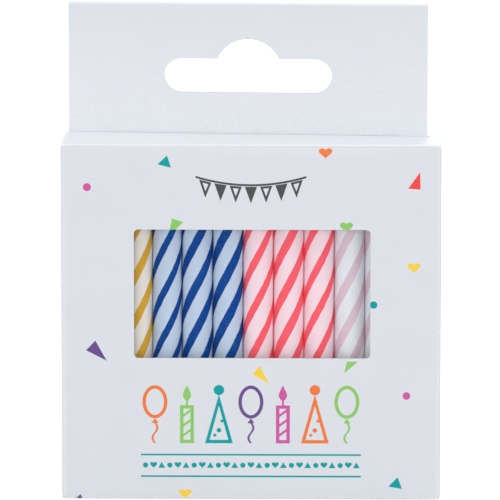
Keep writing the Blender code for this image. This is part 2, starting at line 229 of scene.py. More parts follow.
# %% The paper group
paper = new_group(
    "paper_surface",
    {"Colour": "colour", "Pale Fold And Bounce Colour": "colour", "Mottling": "float", "Fibre Scale": "float",
     "Base Roughness": "float"},
    {"Colour": "colour", "Roughness": "float", "Height": "float"},
)
given, result = paper.nodes["in"], paper.nodes["out"]
place = add_node(paper, "ShaderNodeTexCoord").outputs["Object"]
fibres = add_node(
    paper, "ShaderNodeTexNoise", {"Vector": place, "Scale": given.outputs["Fibre Scale"]},
    {"Detail": 4.0, "Roughness": 0.6},
)
clouds = add_node(
    paper, "ShaderNodeTexNoise", {"Vector": place}, {"Scale": 160.0, "Detail": 3.0, "Roughness": 0.5}
)
cloud_share = add_node(
    paper, "ShaderNodeMapRange", {"Value": clouds.outputs["Fac"], "To Min": given.outputs["Mottling"]},
    {"From Min": 0.35, "From Max": 0.65, "To Max": 0.0},
)
darker = add_node(
    paper, "ShaderNodeMix", {"Factor": cloud_share.outputs["Result"], "A": given.outputs["Colour"]},
    {"B": (0.35, 0.36, 0.38, 1)}, data_type="RGBA",
)
# Each point's fold share, times the fibres, mixes in the paler colour: along each fold, and on the header's foot,
# where the paler colour is painted bounce light from the lid.
fold = add_node(paper, "ShaderNodeAttribute", attribute_name="fold")
pale_fold_and_bounce = add_node(
    paper, "ShaderNodeMath",
    {0: fold.outputs["Fac"], 1: fibres.outputs["Fac"]}, operation="MULTIPLY",
)
paled_by_fold_and_bounce = add_node(
    paper, "ShaderNodeMix",
    {"Factor": pale_fold_and_bounce.outputs[0], "A": darker.outputs["Result"], "B": given.outputs["Pale Fold And Bounce Colour"]},
    data_type="RGBA",
)
rougher = add_node(
    paper, "ShaderNodeMapRange", {"Value": fibres.outputs["Fac"]},
    {"From Min": 0.3, "From Max": 0.7, "To Min": -0.05, "To Max": 0.07},
)
roughness = add_node(
    paper, "ShaderNodeMath",
    {0: given.outputs["Base Roughness"], 1: rougher.outputs["Result"]}, operation="ADD",
)
paper.links.new(paled_by_fold_and_bounce.outputs["Result"], result.inputs["Colour"])
paper.links.new(roughness.outputs[0], result.inputs["Roughness"])
paper.links.new(fibres.outputs["Fac"], result.inputs["Height"])
print("paper group nodes:", len(paper.nodes))

# %% The wax group
wax = new_group(
    "striped_wax",
    {"Pale Colour": "colour", "Stripe Colour": "colour", "Raggedness": "float"},
    {"Colour": "colour", "Roughness": "float", "Height": "float"},
)
given, result = wax.nodes["in"], wax.nodes["out"]
place = add_node(wax, "ShaderNodeTexCoord").outputs["Object"]
turned = add_node(wax, "ShaderNodeAttribute", attribute_name="stripe")
parts = add_node(wax, "ShaderNodeSeparateXYZ", {"Vector": turned.outputs["Vector"]})
angle = add_node(
    wax, "ShaderNodeMath", {0: parts.outputs["Y"], 1: parts.outputs["X"]}, operation="ARCTAN2"
)
distance = add_node(wax, "ShaderNodeMath", {0: angle.outputs[0]}, operation="ABSOLUTE")
share = add_node(wax, "ShaderNodeMath", {0: distance.outputs[0]}, {1: math.pi}, operation="DIVIDE")
jags = add_node(
    wax, "ShaderNodeTexNoise", {"Vector": place}, {"Scale": 620.0, "Detail": 2.0, "Roughness": 0.55}
)
centred = add_node(wax, "ShaderNodeMath", {0: jags.outputs["Fac"]}, {1: 0.5}, operation="SUBTRACT")
shifted = add_node(
    wax, "ShaderNodeMath",
    {0: centred.outputs[0], 1: given.outputs["Raggedness"], 2: share.outputs[0]},
    operation="MULTIPLY_ADD",
)
beyond = add_node(
    wax, "ShaderNodeMath", {0: shifted.outputs[0], 1: parts.outputs["Z"]}, operation="SUBTRACT",
)
stripe = add_node(
    wax, "ShaderNodeMapRange", {"Value": beyond.outputs[0]},
    {"From Min": -0.02, "From Max": 0.02, "To Min": 1.0, "To Max": 0.0},
)
# Painted shade: the sides that face the neighbouring candles are mixed towards the stripe colour, as deep coloured
# shade between the candles.
contact = add_node(wax, "ShaderNodeAttribute", attribute_name="contact")
crevice_shade = add_node(
    wax, "ShaderNodeMapRange", {"Value": contact.outputs["Fac"]},
    {"From Min": 0.90, "From Max": 0.985, "To Min": 0.0, "To Max": 0.6},
)
stripe_and_crevice_shade = add_node(
    wax, "ShaderNodeMath", {0: stripe.outputs["Result"], 1: crevice_shade.outputs["Result"]},
    operation="MAXIMUM",
)
bloom = add_node(
    wax, "ShaderNodeTexNoise", {"Vector": place}, {"Scale": 1500.0, "Detail": 4.0, "Roughness": 0.6}
)
colour = add_node(
    wax, "ShaderNodeMix",
    {"Factor": stripe_and_crevice_shade.outputs[0], "A": given.outputs["Pale Colour"],
     "B": given.outputs["Stripe Colour"]},
    data_type="RGBA",
)
frosted = add_node(
    wax, "ShaderNodeMapRange", {"Value": bloom.outputs["Fac"]},
    {"From Min": 0.50, "From Max": 0.80, "To Min": 0.0, "To Max": 0.015},
)
clouded = add_node(
    wax, "ShaderNodeMix", {"Factor": frosted.outputs["Result"], "A": colour.outputs["Result"]},
    {"B": (0.9, 0.9, 0.92, 1)}, data_type="RGBA",
)
gloss = add_node(
    wax, "ShaderNodeMapRange", {"Value": bloom.outputs["Fac"]},
    {"From Min": 0.3, "From Max": 0.7, "To Min": 0.36, "To Max": 0.52},
)
wax.links.new(clouded.outputs["Result"], result.inputs["Colour"])
wax.links.new(gloss.outputs["Result"], result.inputs["Roughness"])
wax.links.new(bloom.outputs["Fac"], result.inputs["Height"])
print("wax group nodes:", len(wax.nodes))


# %% [markdown]
# ## Materials
# The outside of the board is coated and has a satin finish. Its inside and its cut edges are bare
# and rough, and the cut edge is a warmer grey. The print is ink on the coated side, so it keeps
# the same fibres and only changes the colour.

# %% Board and ink
def srgb(red, green, blue):
    """A colour from 0 to 255, as a painter would pick it, in the linear values nodes use."""
    linear = []
    for part in (red, green, blue):
        part /= 255
        linear.append(part / 12.92 if part <= 0.04045 else ((part + 0.055) / 1.055) ** 2.4)
    return (*linear, 1)


def plain_material(name):
    """A new material, its node tree and its shader."""
    material = bpy.data.materials.new(name)
    material.use_nodes = True
    return material, material.node_tree, material.node_tree.nodes["Principled BSDF"]


def grouped_material(name, group, values, bump, depth, gloss):
    """A material with its own shader, fed by a shared group that has these values."""
    material, tree, shader = plain_material(name)
    surface = add_node(tree, "ShaderNodeGroup", values=values, node_tree=group)
    relief = add_node(
        tree, "ShaderNodeBump", {"Height": surface.outputs["Height"]},
        {"Strength": bump, "Distance": depth},
    )
    tree.links.new(surface.outputs["Colour"], shader.inputs["Base Color"])
    tree.links.new(surface.outputs["Roughness"], shader.inputs["Roughness"])
    tree.links.new(relief.outputs["Normal"], shader.inputs["Normal"])
    shader.inputs["Specular IOR Level"].default_value = gloss
    return material


def paper_material(name, colour, pale_fold_and_bounce, mottling, fibre_scale, roughness, bump, gloss):
    """Paper of one colour."""
    values = {
        "Colour": colour, "Pale Fold And Bounce Colour": pale_fold_and_bounce, "Mottling": mottling,
        "Fibre Scale": fibre_scale, "Base Roughness": roughness,
    }
    return grouped_material(name, paper, values, bump, 0.00005, gloss)


WHITE_BOARD = srgb(216, 220, 227)
# The paler colour of folds, which is also painted bounce light on the header's foot
PALE_FOLD_AND_BOUNCE_COLOUR = srgb(238, 240, 243)
coated = paper_material("coated_board", WHITE_BOARD, PALE_FOLD_AND_BOUNCE_COLOUR, 0.02, 2600, 0.48, 0.10, 0.3)
bare = paper_material("bare_board", srgb(226, 225, 221), PALE_FOLD_AND_BOUNCE_COLOUR, 0.05, 1900, 0.85, 0.30, 0.2)
cut_edge = paper_material("cut_edge", srgb(208, 206, 203), PALE_FOLD_AND_BOUNCE_COLOUR, 0.05, 4200, 0.90, 0.40, 0.1)
INKS = {
    "slate": srgb(78, 78, 80),
    "teal": srgb(0, 158, 161),
    "green": srgb(140, 200, 103),
    "violet": srgb(107, 78, 142),
    "magenta": srgb(205, 88, 160),
    "orange": srgb(238, 124, 62),
    "yellow": srgb(243, 209, 70),
    "red": srgb(243, 74, 74),
}
inks = {
    name: paper_material(f"{name}_ink", colour, colour, 0.03, 2600, 0.46, 0.10, 0.08)
    for name, colour in INKS.items()
}
print("board and ink materials:", 3 + len(inks))

# %% Wax, wick and film
def wax_material(name, pale, stripe_colour, reach):
    """Wax of a pale colour with stripes; light of each colour travels its own reach inside it."""
    values = {"Pale Colour": pale, "Stripe Colour": stripe_colour, "Raggedness": 0.16}
    material = grouped_material(name, wax, values, 0.12, 0.00004, 0.08)
    shader = material.node_tree.nodes["Principled BSDF"]
    shader.inputs["Subsurface Weight"].default_value = 0.2
    shader.inputs["Subsurface Radius"].default_value = reach
    shader.inputs["Subsurface Scale"].default_value = 0.0012
    return material


WAX_COLOURS = {
    "gold": wax_material("gold_striped_wax", srgb(232, 227, 220), srgb(212, 165, 52), (1.0, 0.8, 0.5)),
    "blue": wax_material("blue_striped_wax", srgb(193, 210, 232), srgb(0, 68, 148), (0.3, 0.5, 0.9)),
    "coral": wax_material("coral_striped_wax", srgb(250, 222, 232), srgb(255, 98, 113), (1.0, 0.4, 0.4)),
    "mauve": wax_material("mauve_striped_wax", srgb(229, 233, 240), srgb(219, 196, 209), (1.0, 0.8, 0.8)),
}
cotton, tree, shader = plain_material("waxed_cotton")
place = add_node(tree, "ShaderNodeTexCoord").outputs["Object"]
threads = add_node(
    tree, "ShaderNodeTexNoise", {"Vector": place}, {"Scale": 5200.0, "Detail": 3.0}
)
cotton_colour = add_node(
    tree, "ShaderNodeMix", {"Factor": threads.outputs["Fac"]},
    {"A": srgb(240, 237, 228), "B": srgb(204, 198, 184)}, data_type="RGBA",
)
cotton_relief = add_node(
    tree, "ShaderNodeBump", {"Height": threads.outputs["Fac"]}, {"Strength": 0.6, "Distance": 0.00008}
)
tree.links.new(cotton_colour.outputs["Result"], shader.inputs["Base Color"])
tree.links.new(cotton_relief.outputs["Normal"], shader.inputs["Normal"])
shader.inputs["Roughness"].default_value = 0.85

film, tree, shader = plain_material("window_film_clear")
place = add_node(tree, "ShaderNodeTexCoord").outputs["Object"]
haze = add_node(tree, "ShaderNodeTexNoise", {"Vector": place}, {"Scale": 90.0, "Detail": 2.0})
film_gloss = add_node(
    tree, "ShaderNodeMapRange", {"Value": haze.outputs["Fac"]}, {"To Min": 0.04, "To Max": 0.12}
)
tree.links.new(film_gloss.outputs["Result"], shader.inputs["Roughness"])
shader.inputs["Base Color"].default_value = (0.10, 0.11, 0.12, 1)
shader.inputs["Alpha"].default_value = 0.015
for film_slot in frame["nodes"]["window_film"].material_slots:
    film_slot.material = film
print("wax colours:", list(WAX_COLOURS))


# %% [markdown]
# ## Folding a sheet of board
# A carton is cut flat and then creased, so its pieces are made the same way here. A flat outline,
# with its holes and its print, is split into triangles, and each point is carried to its place
# along a path of runs and bends. The print is made of faces of its own, so that its edges stay
# crisp at any distance. The fold attribute marks where the paper is painted paler: along each fold,
# and where a piece raises it, as on the header's foot, where the paler colour is painted bounce light.

# %% The path of a creased sheet
BEND_STEPS = 8


def crease_path(start, heading, moves):
    """Stations along a sheet's outer face: distance, point, outward normal and share of a fold.

    The outward side is on the left of the heading, in degrees, and every bend turns right.
    """
    point = np.array(start, float)
    heading = math.radians(heading)
    distance = 0.0
    outward = np.array((-math.sin(heading), math.cos(heading)))
    stations = [(distance, point, outward, 0.0)]
    for kind, *sizes in moves:
        if kind == "run":
            length = sizes[0]
            rest = min(0.5, length / 3)
            along = np.array((math.cos(heading), math.sin(heading)))
            for part in (rest, length - rest, length):
                stations.append((distance + part, point + along * part, outward, 0.0))
            point = point + along * length
            distance += length
        else:
            radius, degrees = sizes
            centre = point - outward * radius
            for step in range(1, BEND_STEPS + 1):
                turned = heading - math.radians(degrees) * step / BEND_STEPS
                outward = np.array((-math.sin(turned), math.cos(turned)))
                point = centre + outward * radius
                distance += radius * math.radians(degrees) / BEND_STEPS
                bent = math.sin(math.pi * step / BEND_STEPS)
                stations.append((distance, point, outward, bent))
            heading -= math.radians(degrees)
    return stations


def path_at(stations, distance):
    """The point, the outward normal and the fold share at a distance along the path."""
    marks = [station[0] for station in stations]
    index = int(np.clip(np.searchsorted(marks, distance) - 1, 0, len(marks) - 2))
    before, after = stations[index], stations[index + 1]
    share = (distance - before[0]) / max(after[0] - before[0], 1e-9)
    share = min(max(share, 0.0), 1.0)
    point = before[1] + (after[1] - before[1]) * share
    outward = before[2] + (after[2] - before[2]) * share
    return point, outward / np.linalg.norm(outward), before[3] + (after[3] - before[3]) * share


# %% Points inside outlines
def inside(point, loop):
    """True if the point lies inside the closed loop."""
    x, y = point
    odd = False
    for index in range(len(loop)):
        (x0, y0), (x1, y1) = loop[index - 1], loop[index]
        if (y0 > y) != (y1 > y) and x < (x1 - x0) * (y - y0) / (y1 - y0) + x0:
            odd = not odd
    return odd


# %% Folding the flat outline
def add_object(mesh):
    """An object of this mesh, with the mesh's name, in the scene."""
    added = bpy.data.objects.new(mesh.name, mesh)
    bpy.context.scene.collection.objects.link(added)
    return added


def fold_board(name, outline, holes, stations, frame_axes, body, nodes, slot,
               prints=(), grid=5.0, bulge=None, levels=(), paled_by_fold_and_bounce=None):
    """A creased sheet of board as one closed mesh, with its print, on a CAD body or on none."""
    points, edges = [], []

    def add_loop(loop):
        first = len(points)
        points.extend(Vector(point) for point in loop)
        edges.extend((first + i, first + (i + 1) % len(loop)) for i in range(len(loop)))

    add_loop(outline)
    for loop in holes:
        add_loop(loop)
    for _, loops in prints:
        for loop in loops:
            add_loop(loop)
    across = [point[1] for point in outline]
    low, high = min(across) - 1, max(across) + 1
    for distance, *_ in stations[1:-1]:
        first = len(points)
        points.extend((Vector((distance, low)), Vector((distance, high))))
        edges.append((first, first + 1))
    along = [point[0] for point in outline]
    for level in levels:
        first = len(points)
        points.extend((Vector((min(along) - 1, level)), Vector((max(along) + 1, level))))
        edges.append((first, first + 1))
    for u in np.arange(min(along) + grid / 2, max(along), grid):
        for v in np.arange(min(across) + grid / 2, max(across), grid):
            if inside((u, v), outline) and not any(inside((u, v), hole) for hole in holes):
                points.append(Vector((float(u), float(v))))
    flat, _, faces, *_ = delaunay_2d_cdt(points, edges, [], 0, 1e-5)
    materials = [coated, bare, cut_edge]
    shape = bmesh.new()
    folds = shape.verts.layers.float.new("fold")
    made = {}

    def corner(index, side):
        if (index, side) not in made:
            u, v = flat[index]
            point, outward, bent = path_at(stations, u)
            lift = bulge(u, v) if bulge else 0.0
            point = point + outward * (lift - (BOARD if side else 0.0))
            vert = shape.verts.new(frame_axes(point, v) * MM)
            # The fold share; a piece may raise it, and the header's raise is painted bounce light
            vert[folds] = max(bent, paled_by_fold_and_bounce(u) if paled_by_fold_and_bounce else 0.0)
            made[index, side] = vert
        return made[index, side]

    count = {}
    for face in faces:
        middle = tuple(sum(flat[i][k] for i in face) / len(face) for k in (0, 1))
        if not inside(middle, outline) or any(inside(middle, hole) for hole in holes):
            continue
        material = 0
        for ink, loops in prints:
            if sum(inside(middle, loop) for loop in loops) % 2:
                if ink not in materials:
                    materials.append(ink)
                material = materials.index(ink)
        try:
            outer = shape.faces.new([corner(i, 0) for i in face])
            inner = shape.faces.new([corner(i, 1) for i in reversed(face)])
        except ValueError:
            continue
        outer.material_index = material
        inner.material_index = 1
        for index in range(len(face)):
            a, b = face[index], face[(index + 1) % len(face)]
            count[a, b] = count.get((a, b), 0) + 1
    for (a, b) in list(count):
        if (b, a) not in count:
            wall = shape.faces.new((corner(b, 0), corner(a, 0), corner(a, 1), corner(b, 1)))
            wall.material_index = 2
    bmesh.ops.recalc_face_normals(shape, faces=shape.faces)
    if shape.calc_volume(signed=True) < 0:
        bmesh.ops.reverse_faces(shape, faces=shape.faces)
    mesh = bpy.data.meshes.new(name)
    shape.to_mesh(mesh)
    shape.free()
    for material in materials:
        mesh.materials.append(material)
    mesh.shade_smooth()
    mesh.set_sharp_from_angle(angle=math.radians(40))
    piece = add_object(mesh)
    if body:
        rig.ride(piece, body)
    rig.replaces(piece, *nodes)
    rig.slot(piece, slot)
    print(name, "faces:", len(mesh.polygons), "materials:", len(materials))
    return piece


# %% [markdown]
# ## The print on the front
# Confetti is scattered over the front: triangles, hearts and dots in seven colours. The middle of
# the front carries generic ornaments only, drawn for this carton: a small garland of pennants above
# the window, and below it a row of thin-line balloons, candles and party hats between two rules.

# %% Outlines of the small shapes, on the front face in millimetres
def arc(middle, radii, start, end, steps):
    """Points round a middle from one angle to another, in degrees, with both ends."""
    points = []
    for step in range(steps + 1):
        angle = math.radians(start + (end - start) * step / steps)
        points.append((middle[0] + radii[0] * math.cos(angle), middle[1] + radii[1] * math.sin(angle)))
    return points


def disc(x, z, radius, sides=28):
    return arc((x, z), (radius, radius), 0, 360, sides)[:-1]


def heart(x, z, width, height):
    """A heart about a middle point, with its point down."""
    loop = []
    for step in range(36):
        t = math.tau * step / 36
        across = 16 * math.sin(t) ** 3
        up = 13 * math.cos(t) - 5 * math.cos(2 * t) - 2 * math.cos(3 * t) - math.cos(4 * t)
        loop.append((x + across * width / 32, z + (up + 2.5) * height / 29))
    return loop


def inset(loop, amount):
    """The loop drawn in by an amount, which keeps a line's width even."""
    area = sum(a[0] * b[1] - b[0] * a[1] for a, b in zip(loop, loop[1:] + loop[:1]))
    sign = 1 if area > 0 else -1
    drawn = []
    for index, point in enumerate(loop):
        before, after = Vector(loop[index - 1]), Vector(loop[(index + 1) % len(loop)])
        here = Vector(point)
        first, second = (here - before).normalized(), (after - here).normalized()
        normal = Vector((-first.y - second.y, first.x + second.x)) * sign
        normal.normalize()
        lean = max(normal.dot(Vector((-first.y, first.x)) * sign), 0.3)
        drawn.append(tuple(here + normal * (amount / lean)))
    return drawn


def line(start, end, width):
    a, b = Vector(start), Vector(end)
    side = (b - a).normalized().orthogonal() * (width / 2)
    return [tuple(a + side), tuple(b + side), tuple(b - side), tuple(a - side)]


def outlined(loop, stroke):
    return [loop, inset(loop, stroke)]


# %% Confetti
CONFETTI = [
    ("teal", [(-16.69, 61.16), (-14.99, 62.78), (-14.24, 60.53)]),
    ("magenta", disc(-29.32, 56.98, 0.72)),
    ("orange", heart(13.32, 63.17, 2.40, 1.90)),
    ("red", [(30.21, 59.82), (28.08, 56.84), (30.31, 56.67)]),
    ("green", [(-14.14, 51.36), (-12.08, 50.69), (-13.90, 48.90), (-14.6, 48.90)]),
    ("green", heart(17.08, 49.75, 2.35, 1.90)),
    ("yellow", heart(29.18, 42.36, 2.35, 1.85)),
    ("teal", disc(21.99, 35.64, 0.68)),
    ("violet", [(-27.92, 29.0), (-29.6, 27.23), (-25.85, 25.28)]),
    ("violet", [(-30.73, 0.75), (-31.85, -0.36), (-30.21, -0.36)]),
    ("yellow", heart(-11.83, 0.83, 2.30, 1.72)),
    ("teal", [(26.43, 4.04), (24.76, 2.27), (27.21, 1.85)]),
    ("magenta", disc(27.94, 18.98, 0.70)),
    ("yellow", [(1.48, 24.44), (0.33, 22.82), (3.31, 21.23)]),
    ("green", [(17.27, 25.25), (19.25, 25.25), (16.72, 23.1)]),
]
front_print = [(inks[ink], [loop]) for ink, loop in CONFETTI]

# %% A garland of pennants above the window
GARLAND_HALF = 9.9
GARLAND_TOP = 58.9
GARLAND_SAG = 1.5
PENNANTS = 7


def garland_height(x):
    return GARLAND_TOP - GARLAND_SAG * (1 - (x / GARLAND_HALF) ** 2)


ends = np.linspace(-GARLAND_HALF, GARLAND_HALF, 25)
string_top = [(float(x), garland_height(x) + 0.19) for x in ends]
string_low = [(float(x), garland_height(x) - 0.19) for x in ends[::-1]]
front_print.append((inks["slate"], [string_top + string_low]))
for number in range(PENNANTS):
    middle = (number - (PENNANTS - 1) / 2) * 2.72
    top = [(middle - 1.1, garland_height(middle - 1.1) - 0.3),
           (middle + 1.1, garland_height(middle + 1.1) - 0.3)]
    pennant = top + [(middle, garland_height(middle) - 3.3)]
    front_print.append((inks["slate"], [pennant] if number % 2 else outlined(pennant, 0.40)))
print("garland pennants:", PENNANTS)

# %% A row of balloons, candles and hats below the window
STROKE = 0.62
ROW_LOW, ROW_HIGH = 10.2, 20.9


def balloon(x):
    middle = ROW_HIGH - 3.1
    skin = arc((x, middle), (2.25, 3.05), 0, 360, 32)[:-1]
    knot = [(x, middle - 3.0), (x - 0.65, middle - 3.9), (x + 0.65, middle - 3.9)]
    cord_top = middle - 3.8
    sway = [
        (x + 0.45 * math.sin(share * math.tau), cord_top - share * (cord_top - ROW_LOW))
        for share in np.linspace(0, 1, 13)
    ]
    cord = [(px - 0.2, pz) for px, pz in sway] + [(px + 0.2, pz) for px, pz in sway[::-1]]
    return [outlined(skin, STROKE), [knot], [cord]]


def small_candle(x):
    body = [(x - 1.25, ROW_LOW), (x + 1.25, ROW_LOW), (x + 1.25, 17.2), (x - 1.25, 17.2)]
    bands = [line((x - 1.0, low), (x + 1.0, low + 1.5), 0.42) for low in (11.4, 13.2, 15.0)]
    wick = line((x, 17.1), (x, 18.2), 0.36)
    flame = [(x, ROW_HIGH), (x - 0.62, 19.6), (x - 0.78, 18.9), (x - 0.4, 18.2), (x, 18.0),
             (x + 0.4, 18.2), (x + 0.78, 18.9), (x + 0.62, 19.6)]
    return [outlined(body, STROKE)] + [[band] for band in bands] + [[wick], [flame]]


def party_hat(x):
    cone = [(x - 2.5, ROW_LOW), (x + 2.5, ROW_LOW), (x, 19.2)]
    dots = [disc(x, 12.6, 0.42, 14), disc(x - 0.75, 11.7, 0.3, 12), disc(x + 0.55, 14.3, 0.3, 12)]
    return [outlined(cone, STROKE), [disc(x, ROW_HIGH - 0.9, 0.95, 20)]] + [[dot] for dot in dots]


ROW = (
    ("orange", balloon), ("green", small_candle), ("teal", party_hat), ("violet", balloon),
    ("magenta", small_candle), ("orange", party_hat), ("green", balloon),
)
for number, (ink, draw) in enumerate(ROW):
    for loops in draw((number - 3) * 5.75):
        front_print.append((inks[ink], loops))

# %% Two rules with small marks between them
for height in (8.08, 4.10):
    front_print.append((inks["teal"], [line((-19.8, height), (19.8, height), 0.32)]))
for number in range(27):
    x = (number - 13) * 1.46
    if number % 3 == 1:
        mark = heart(x, 6.15, 1.25, 1.15)
    elif number % 3 == 2:
        mark = [(x - 0.62, 5.65), (x + 0.62, 5.65), (x, 6.75)]
    else:
        mark = disc(x, 6.15, 0.48, 16)
    front_print.append((inks["teal"], [mark]))
print("printed shapes:", len(front_print))


# %% [markdown]
# ## The sleeve
# Front, sides and back are one strip of board, folded four times and glued where its last flap lies
# inside the right side. The strip starts at that side's rear edge, runs round the front, the left
# side and the back, and ends as the glue flap.

# %% The lean of the crease at the back, and the front's pressed-in top edge
CREASE_LEAN = 0.0123
HEADER_LEAN = 0.0052
HEADER_RISE = 0.17
CURL_HEIGHT = 1.7
CURL_DEPTH = 0.21


# %% The sleeve's path and flat outline
side = BACK - FRONT - FOLD_RADIUS
wide = RIGHT - LEFT - 2 * FOLD_RADIUS
flap_x = RIGHT - BOARD - HAIRLINE
sleeve_path = crease_path((RIGHT, BACK - 0.2), -90, [
    ("run", side - 0.2), ("bend", FOLD_RADIUS, 90), ("run", wide), ("bend", FOLD_RADIUS, 90),
    ("run", side - FOLD_RADIUS), ("bend", FOLD_RADIUS, 90),
    ("run", flap_x - LEFT - 2 * FOLD_RADIUS), ("bend", FOLD_RADIUS, 90), ("run", 9.5),
])
QUARTER = FOLD_RADIUS * math.pi / 2
front_start = side - 0.2 + QUARTER
front_end = front_start + wide
left_start = front_end + QUARTER
left_end = left_start + side - FOLD_RADIUS
back_start = left_end + QUARTER
back_end = back_start + flap_x - LEFT - 2 * FOLD_RADIUS
flap_start = back_end + QUARTER
flap_end = flap_start + 9.5
low_side, high_side = CLOSURE_STACK, HEIGHT - CLOSURE_STACK
front_top = HEIGHT - FRONT_EDGE_DROP
BACK_CORNER = 1.0
half_outline = [
    (0, high_side), (front_start - QUARTER, high_side), (front_start - 0.15, front_top),
    (front_end + 0.15, front_top), (left_start, high_side), (left_end, high_side),
]
half_outline += arc(
    (back_start + BACK_CORNER, high_side), (-BACK_CORNER, CLOSURE_STACK), 0, 90, 6
)
half_outline += arc((back_end - BACK_CORNER, high_side), (BACK_CORNER, CLOSURE_STACK), 90, 0, 6)
half_outline += [(flap_start, HEIGHT - 3.0), (flap_end, HEIGHT - 6.0)]
foot_of = {high_side: low_side, front_top: 0.0}
sleeve_outline = [(u, foot_of.get(v, HEIGHT - v)) for u, v in half_outline] + half_outline[::-1]


def on_front(loop):
    """A loop drawn on the front, as seen, moved to the flat strip."""
    return [(front_start + (RIGHT - FOLD_RADIUS) - x, z) for x, z in loop]


def rounded(low, high, radius, steps=6):
    loop = []
    for cx, cz, start in (
        (high[0] - radius, high[1] - radius, 0), (low[0] + radius, high[1] - radius, 90),
        (low[0] + radius, low[1] + radius, 180), (high[0] - radius, low[1] + radius, 270),
    ):
        loop += arc((cx, cz), (radius, radius), start, start + 90, steps)
    return loop


WINDOW_LEFT, WINDOW_BASE = LEFT + 13.1, 25.8
WINDOW_WIDTH, WINDOW_HEIGHT = 42.35, 23.5
WINDOW = rounded(
    (WINDOW_LEFT, WINDOW_BASE), (WINDOW_LEFT + WINDOW_WIDTH, WINDOW_BASE + WINDOW_HEIGHT), 0.75
)


def front_bulge(u, v):
    """The front stands a touch proud in its middle, as filled board does."""
    across = (u - front_start) / wide
    if not 0 < across < 1:
        return 0.0
    proud = 0.10 * math.sin(math.pi * across) * math.sin(math.pi * min(max(v / HEIGHT, 0), 1))
    near_top = min(max((v - front_top + CURL_HEIGHT) / CURL_HEIGHT, 0), 1)
    near_side = min(min(across, 1 - across) / 0.02, 1)
    return proud - CURL_DEPTH * near_side * near_top ** 2


def on_carton(point, v):
    """The sleeve's point in space, with the back's top edge along the leaning crease."""
    at_back = min(max((point[1] - BACK + 1.2) / 0.7, 0), 1)
    near_top = min(max((v - HEIGHT + 6) / 6, 0), 1)
    return Vector((point[0], point[1], v - CREASE_LEAN * point[0] * at_back * near_top))


fold_board(
    "carton_sleeve_board", sleeve_outline, [on_front(WINDOW)], sleeve_path,
    on_carton, "root", ["carton_sleeve"], "printed_board",
    [(ink, [on_front(loop) for loop in loops]) for ink, loops in front_print],
    bulge=front_bulge, levels=[front_top - CURL_HEIGHT * share for share in (0.2, 0.4, 0.6, 0.8, 1)],
)


# %% [markdown]
# ## The header
# The back panel goes on above the lid, folds forward at the top and comes down again, so the slot
# is cut through two plies. In the photograph it leans a little: its left end stands higher than its
# right, so each point drops by a small share of its distance to the right. It also stands a little
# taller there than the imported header, and its rise makes up for that.

# %% The header, folded at its top
header_fold = (2 * BOARD + PLY_GAP) / 2
fold_height = HEADER_TOP + HEADER_RISE - header_fold
ply_height = fold_height - (HEIGHT - BOARD)
back_height = fold_height - (HEIGHT + HAIRLINE)
header_path = crease_path((HEADER_PLY_FRONT, HEIGHT - BOARD), 90, [
    ("run", ply_height), ("bend", header_fold, 180), ("run", back_height),
])
header_length = header_path[-1][0]


def euro_slot(base):
    """The hook slot's outline about the header's middle: round ends and a domed top."""
    width, height, rise, dome = 30.1, 6.2, 3.6, 6.0
    half = width / 2 - height / 2
    middle = (HEADER_LEFT + HEADER_RIGHT) / 2
    top = base + height
    dome_centre = top + rise - dome
    start = math.degrees(math.asin((top - dome_centre) / dome))
    end_radii = (height / 2, height / 2)
    loop = arc((middle + half, base + height / 2), end_radii, -90, 90, 16)
    loop += arc((middle, dome_centre), (dome, dome), start, 180 - start, 20)
    loop += arc((middle - half, base + height / 2), end_radii, 90, 270, 16)
    return loop


slot_loop = euro_slot(HEIGHT + 7.45)
front_slot = [(z - (HEIGHT - BOARD), x) for x, z in slot_loop]
back_slot = [(header_length - (z - (HEIGHT + HAIRLINE)), x) for x, z in slot_loop]
header_outline = [
    (0, HEADER_LEFT), (header_length, HEADER_LEFT),
    (header_length, HEADER_RIGHT), (0, HEADER_RIGHT),
]


def leaning(point, x):
    """The header's point, dropped towards the right."""
    up = (point[1] - HEIGHT) / (HEADER_TOP - HEIGHT)
    lean = CREASE_LEAN + (HEADER_LEAN - CREASE_LEAN) * min(max(up, 0.0), 1.0)
    return Vector((x, point[0], point[1] - lean * x))


# Its front ply is painted paler towards its foot, over its lowest 24 mm: painted bounce light from the lid.
fold_board(
    "hang_header_board", header_outline, [front_slot, back_slot], header_path, leaning,
    "root", ["hang_header"], "printed_board", paled_by_fold_and_bounce=lambda u: max(1.0 - abs(u) / 24, 0.0),
)


# %% [markdown]
# ## The closures
# Each end closes with a panel that turns on its crease, a tongue that slips in behind the front,
# and two dust flaps from the sides. The top panel has a long cut along its crease, which lets the
# stiff double header stay upright when the lid opens. Board bends near its crease rather than at a
# sharp line, so the lid is blended over its first few millimetres and clears the sloping header.

# %% Lid and bottom panels
FRONT_INSET = 0.15
REAR_INSET = 0.62
CREASE_RADIUS = 0.35
OUTER_CREASE = 0.55
SLIT_HALF = 26.8
SLIT_WIDTH = 0.10
REAR_CORNER = 0.7
BENDING = 3.6


